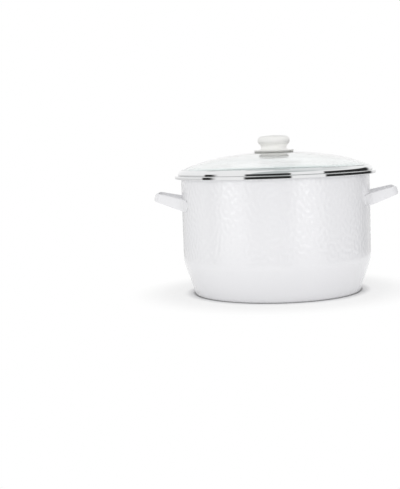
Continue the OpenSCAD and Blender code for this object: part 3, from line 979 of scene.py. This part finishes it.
RING_WIRE = (ring_high.z - ring_low.z) / 2
RING_Z = (ring_high.z + ring_low.z) / 2
RING_R = ring_high.x - RING_WIRE
LEG_WIRE, GRID_WIRE = 1.7 * MM, 1.5 * MM
PITCH = 16.9 * MM
CROSS_W = 28 * MM
LOOP_R, LEG_BEND = 8.5 * MM, 5 * MM
TOE_R = BASE_R - 3.5 * MM
FOOT_Z = long_low.z + LEG_WIRE
WELD_SINK = 0.12 * MM
LONG_Z = RING_Z + RING_WIRE + LEG_WIRE - WELD_SINK
CROSS_Z = RING_Z - RING_WIRE - LEG_WIRE + WELD_SINK
GRID_Z = RING_Z + RING_WIRE + GRID_WIRE - WELD_SINK
CORNER_R = RING_R + RING_WIRE + LEG_WIRE + LEG_BEND
WIRE_STEP = 9 * MM
BUTT_GAP, BUTT_NUGGET = 0.2 * MM, (1.3 * MM, 1.12 * LEG_WIRE, 1.12 * LEG_WIRE)
NUGGET, NUGGET_LIFT = (2.1 * MM, 2.1 * MM, 0.75 * MM), 0.2 * MM

a = np.linspace(0, 2 * np.pi, 288, endpoint=False)
ring_path = np.stack([RING_R * np.cos(a), RING_R * np.sin(a), np.full(len(a), RING_Z)], -1)
points, faces = round_wire(ring_path, RING_WIRE, True, (0, 0, 1), 20)
solid("rack_outer_ring", points, faces, "rack", ["rack_ring"], RACK)


def make_leg_frame(name, node, width, level, turn):
    """A long loop of wire, bent down at each end into a V with a round foot, with its butt
    weld and the weld nuggets where it crosses the ring. turn swaps it onto the Y axis."""
    end = [
        (CORNER_R, width / 2, level), (TOE_R, LOOP_R, FOOT_Z),
        (TOE_R, -LOOP_R, FOOT_Z), (CORNER_R, -width / 2, level),
    ]
    corners = [(BUTT_GAP / 2, width / 2, level)] + end + [(-x, -y, z) for x, y, z in end]
    corners += [(-BUTT_GAP / 2, width / 2, level)]
    path = bent_path(corners, [LEG_BEND, LOOP_R, LOOP_R, LEG_BEND] * 2, WIRE_STEP, 12)
    forms = [round_wire(path, LEG_WIRE)]
    forms.append(nugget((0, width / 2, level), BUTT_NUGGET))
    cross_x = math.sqrt(RING_R ** 2 - (width / 2) ** 2)
    touch = (level + RING_Z) / 2
    for sx in (-1, 1):
        for sy in (-1, 1):
            forms.append(nugget((sx * cross_x, sy * width / 2, touch), NUGGET))
    points, faces = joined(*forms)
    if turn:
        points = points[:, [1, 0, 2]] * [-1, 1, 1]
    return solid(name, points, faces, "rack", [node], RACK)


make_leg_frame("leg_frame_long", "rack_leg_frame_long", 2 * PITCH, LONG_Z, False)
make_leg_frame("leg_frame_cross", "rack_leg_frame_cross", CROSS_W, CROSS_Z, True)

grid_nodes = sorted(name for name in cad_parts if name.startswith("rack_wire_"))
half_count = (len(grid_nodes) + 1) // 2
rows = [k for k in range(-half_count, half_count + 1) if abs(k) != 1]
for node, row in zip(grid_nodes, rows):
    y = row * PITCH
    half_chord = math.sqrt(RING_R ** 2 - y ** 2)
    reach = half_chord + RING_WIRE / 2
    path = ends_refined((-reach, y, GRID_Z), (reach, y, GRID_Z), GRID_WIRE, 24)
    touch = (GRID_Z + RING_Z) / 2 + NUGGET_LIFT
    points, faces = joined(
        round_wire(path, GRID_WIRE),
        nugget((half_chord, y, touch), NUGGET), nugget((-half_chord, y, touch), NUGGET),
    )
    name = node.replace("rack_wire", "grid_wire")
    solid(name, points, faces, "rack", [node], RACK)

# ---------------------------------------------------------------- floor, world and lamps


def floor_finish():
    """A plain white floor that keeps the object's shadow, and turns into the white of the
    background away from it: the share of plain white grows with distance from the axis.
    Under the pot's edge a dark ring is painted on: a painted contact shadow in the crack between
    base and floor."""
    f = Finish("studio floor")
    where = f.place()
    x, y, z = f.parts(where)
    r = (x * x + y * y) ** 0.5
    grain = f.noise(where, 3.0, 2.0)
    tint = f.mix(grain, colour(0.92, 0.92, 0.925), colour(0.94, 0.94, 0.94))
    # painted shadow: a dark ring on the floor just outside the pot's base
    tint = f.mix(r.step(0.152, 0.146), tint, colour(0.42, 0.42, 0.42))
    path = f.add("ShaderNodeLightPath")
    seen = f.value(path, "Is Camera Ray").maths("MAXIMUM", f.value(path, "Is Glossy Ray"))
    seen = seen.maths("MAXIMUM", f.value(path, "Is Transmission Ray"))
    share = seen * (0.64 * r.step(0.151, 0.168) + 0.36 * r.step(0.168, 0.27))
    share = share + f.value(path, "Is Diffuse Ray") * 0.75 * r.step(0.148, 0.24)
    diffuse = f.value(f.add("ShaderNodeBsdfDiffuse", None, {"Color": tint}))
    white = f.value(f.add("ShaderNodeEmission", None, {"Color": colour(1, 1, 1), "Strength": 1.0}))
    blend = f.value(f.add("ShaderNodeMixShader", None, [share, diffuse, white]))
    f.add("ShaderNodeOutputMaterial", None, {"Surface": blend})
    return f.owner


FLOOR_R, FLOOR_MIDDLE = 0.62, 0.04


def make_floor(sectors=96, rings=12):
    """A flat disc: rings of points at r (cos a, sin a), and a fan to its middle.

    It is small, because the wall's gloss shows where a larger one ends.
    """
    a = np.linspace(0, 2 * np.pi, sectors, endpoint=False)[:, None]
    r = np.linspace(FLOOR_MIDDLE, FLOOR_R, rings)[None, :]
    ring = np.stack(np.broadcast_arrays(r * np.cos(a), r * np.sin(a), 0 * r * a), -1)
    points = np.concatenate([ring.reshape(-1, 3), [[0, 0, 0]]])
    quads = grid_quads(sectors, rings, True, False)[:, ::-1]
    here = np.arange(sectors) * rings
    middle = np.stack([here, np.roll(here, -1), np.full(sectors, sectors * rings)], -1)
    mesh = bpy.data.meshes.new("floor")
    mesh.from_pydata(points.tolist(), [], quads.tolist() + middle.tolist())
    mesh.materials.append(floor_finish())
    floor = bpy.data.objects.new("floor", mesh)
    bpy.context.scene.collection.objects.link(floor)


WORLD_LEVEL = 0.65


def make_world():
    """White to the camera, a plain level for the light, and for gloss and glass a studio.

    The azimuth is atan2(x, -y) in degrees, so 0 faces the camera's side and 90 is +X. Near
    the horizon the studio is dark but for a box on the right, a box on the left, and a pale
    sweep behind and beyond the left box. Over them it is white, dimmed a little ahead.
    Each zone is 1 inside and 0 outside, between soft edges in degrees.
    """
    f = Finish("studio", world=True)
    x, y, z = f.parts(f.value(f.add("ShaderNodeTexCoord"), "Generated"))
    azimuth = x.maths("ARCTAN2", y * -1.0) * math.degrees(1)
    rise = z.maths("ARCSINE") * math.degrees(1)
    right_box = azimuth.step(17, 20) * azimuth.step(60, 57)
    left_box = azimuth.step(-79, -67) * azimuth.step(-32, -36)
    behind = azimuth.maths("ABSOLUTE").step(134, 148).maths("MAXIMUM", azimuth.step(-87, -91))
    behind = behind * (0.66 + 0.34 * rise.step(-4, 0))
    above = (rise - 3 * azimuth.step(58, 62)).step(12, 18)
    ahead = azimuth.step(-32, -24) * (rise - 24 * azimuth.step(14, 20)).step(12, 18)
    dimmed = ahead * (0.17 + 0.23 * azimuth.step(66, 58))
    below = rise.step(-12, -16)
    bright = right_box.maths("MAXIMUM", left_box).maths("MAXIMUM", behind)
    bright = bright.maths("MAXIMUM", above).maths("MAXIMUM", below)
    studio = (0.03 + 1.02 * bright) * (1.0 - dimmed)
    path = f.add("ShaderNodeLightPath")
    glossy = f.value(path, "Is Glossy Ray")
    plain = f.value(path, "Is Diffuse Ray")
    sky = WORLD_LEVEL * (1.22 - 0.32 * rise.step(5, 50))
    level = 1.0 + glossy * (studio - 1.0) + plain * (sky - 1.0)
    tint = f.mix(glossy * dimmed * 2.3, colour(1, 1, 1), colour(0.94, 1.0, 1.0))
    light = f.value(f.add("ShaderNodeBackground", None, {"Color": tint, "Strength": level}))
    f.add("ShaderNodeOutputWorld", None, {"Surface": light})
    bpy.context.scene.world = f.owner


def lamp(name, aim, azimuth, rise, away, size, power, tint=(1, 1, 1), shown_on=None):
    """A softbox that faces a point from a direction, width x height, at a distance.

    Its azimuth counts from the camera's side towards +X. It lights every piece without
    showing in gloss, or, where a collection is given, it only shows in the gloss of that.
    """
    data = bpy.data.lights.new(name, "AREA")
    data.shape = "RECTANGLE"
    data.size, data.size_y = size
    data.energy = power
    data.color = tint
    turn, lift = math.radians(azimuth), math.radians(rise)
    toward = Vector((
        math.sin(turn) * math.cos(lift), -math.cos(turn) * math.cos(lift), math.sin(lift),
    ))
    made = bpy.data.objects.new(name, data)
    made.location = Vector(aim) + toward * away
    made.rotation_mode = "QUATERNION"
    made.rotation_quaternion = toward.to_track_quat("Z", "Y")
    made.visible_glossy = shown_on is not None
    made.visible_camera = False
    made.visible_transmission = False
    if shown_on is not None:
        made.light_linking.receiver_collection = shown_on
        made.visible_diffuse = False
    bpy.context.scene.collection.objects.link(made)


make_floor()
make_world()
relief_side = bpy.data.collections.new("relief_side")
relief_side.objects.link(pot)
MIDDLE, WALL_TOP = (0, 0, 0.12), (0, 0, 0.19)
lamp("key_softbox", MIDDLE, -36, 6, 2.45, (2.8, 1.6), 13.5)
lamp("front_softbox", MIDDLE, 0, 6, 2.40, (1.6, 1.6), 6.0)
lamp("fill_softbox", MIDDLE, 60, 6, 2.30, (2.4, 1.5), 9.0, (0.98, 0.97, 1.0))
lamp("left_sparkle", WALL_TOP, -53, 5, 3.0, (0.9, 0.6), 4.4, (1, 1, 1), relief_side)
lamp("right_sparkle", WALL_TOP, 34, 4, 3.0, (0.8, 0.6), 4.8, (1, 1, 1), relief_side)
bpy.context.scene.view_settings.view_transform = "Standard"

# ---------------------------------------------------------------- how the points show


def shown_points(piece):
    """Image x, y and the places of a finished piece's vertices."""
    graph = bpy.context.evaluated_depsgraph_get()
    shown = piece.evaluated_get(graph)
    mesh = shown.to_mesh()
    places = np.empty(len(mesh.vertices) * 3)
    mesh.vertices.foreach_get("co", places)
    places = places.reshape(-1, 3) @ np.array(piece.matrix_world.to_3x3()).T
    places = places + np.array(piece.matrix_world.translation)
    shown.to_mesh_clear()
    return in_image(places), places


def extreme(image, axis, sign):
    """The image point of the vertex farthest along x (axis 0) or y (axis 1)."""
    return image[np.argmax(sign * image[:, axis])]


def measure_points():
    """How far each named thing shows from its point, in pixels, as x and y."""
    pieces = [o for o in bpy.context.scene.objects if o.type == "MESH" and o.name != "floor"]
    shown = {o.name: shown_points(o) for o in pieces if not o.hide_render}
    everything = np.concatenate([image for image, _ in shown.values()])
    knob, knob_at = shown["knob_body"]
    head = knob[knob_at[:, 2] > KNOB_Z + 15 * MM]
    flange = knob[knob_at[:, 2] < KNOB_Z + 3 * MM]
    wall, wall_at = shown["enamelled_pot"]
    straight = wall[(wall_at[:, 2] > 0.10) & (wall_at[:, 2] < 0.19)]
    foot = wall[wall_at[:, 2] < 3 * MM]
    rim, rim_at = shown["rolled_rim"]
    inner = rim[(rim_at[:, 1] > 0) & (abs(rim_at[:, 2] - rim_high.z) < 1e-4)]
    near = abs(inner[:, 0] - IMAGE_POINTS["far_rim_through_glass"][0]) < 3
    found = {
        "object_right": extreme(everything, 0, 1),
        "object_top": extreme(everything, 1, -1),
        "object_bottom": extreme(everything, 1, 1),
        "knob_head_left": extreme(head, 0, -1),
        "knob_head_right": extreme(head, 0, 1),
        "knob_flange_left": extreme(flange, 0, -1),
        "knob_flange_right": extreme(flange, 0, 1),
        "rim_right_end": extreme(rim, 0, 1),
        "wall_right": extreme(straight, 0, 1),
        "foot_right": extreme(foot, 0, 1),
        "handle_tip": extreme(shown["strap_handle_right"][0], 0, 1),
        "relief_top": in_image(relief_top_at)[0],
        "relief_bottom": in_image(relief_bottom_at)[0],
        "far_rim_through_glass": inner[near].mean(0),
    }
    off = {}
    for name, point in IMAGE_POINTS.items():
        off[name] = [
            None if want is None else round(float(have - want), 2)
            for want, have in zip(point, found[name])
        ]
    return off


measure_points()
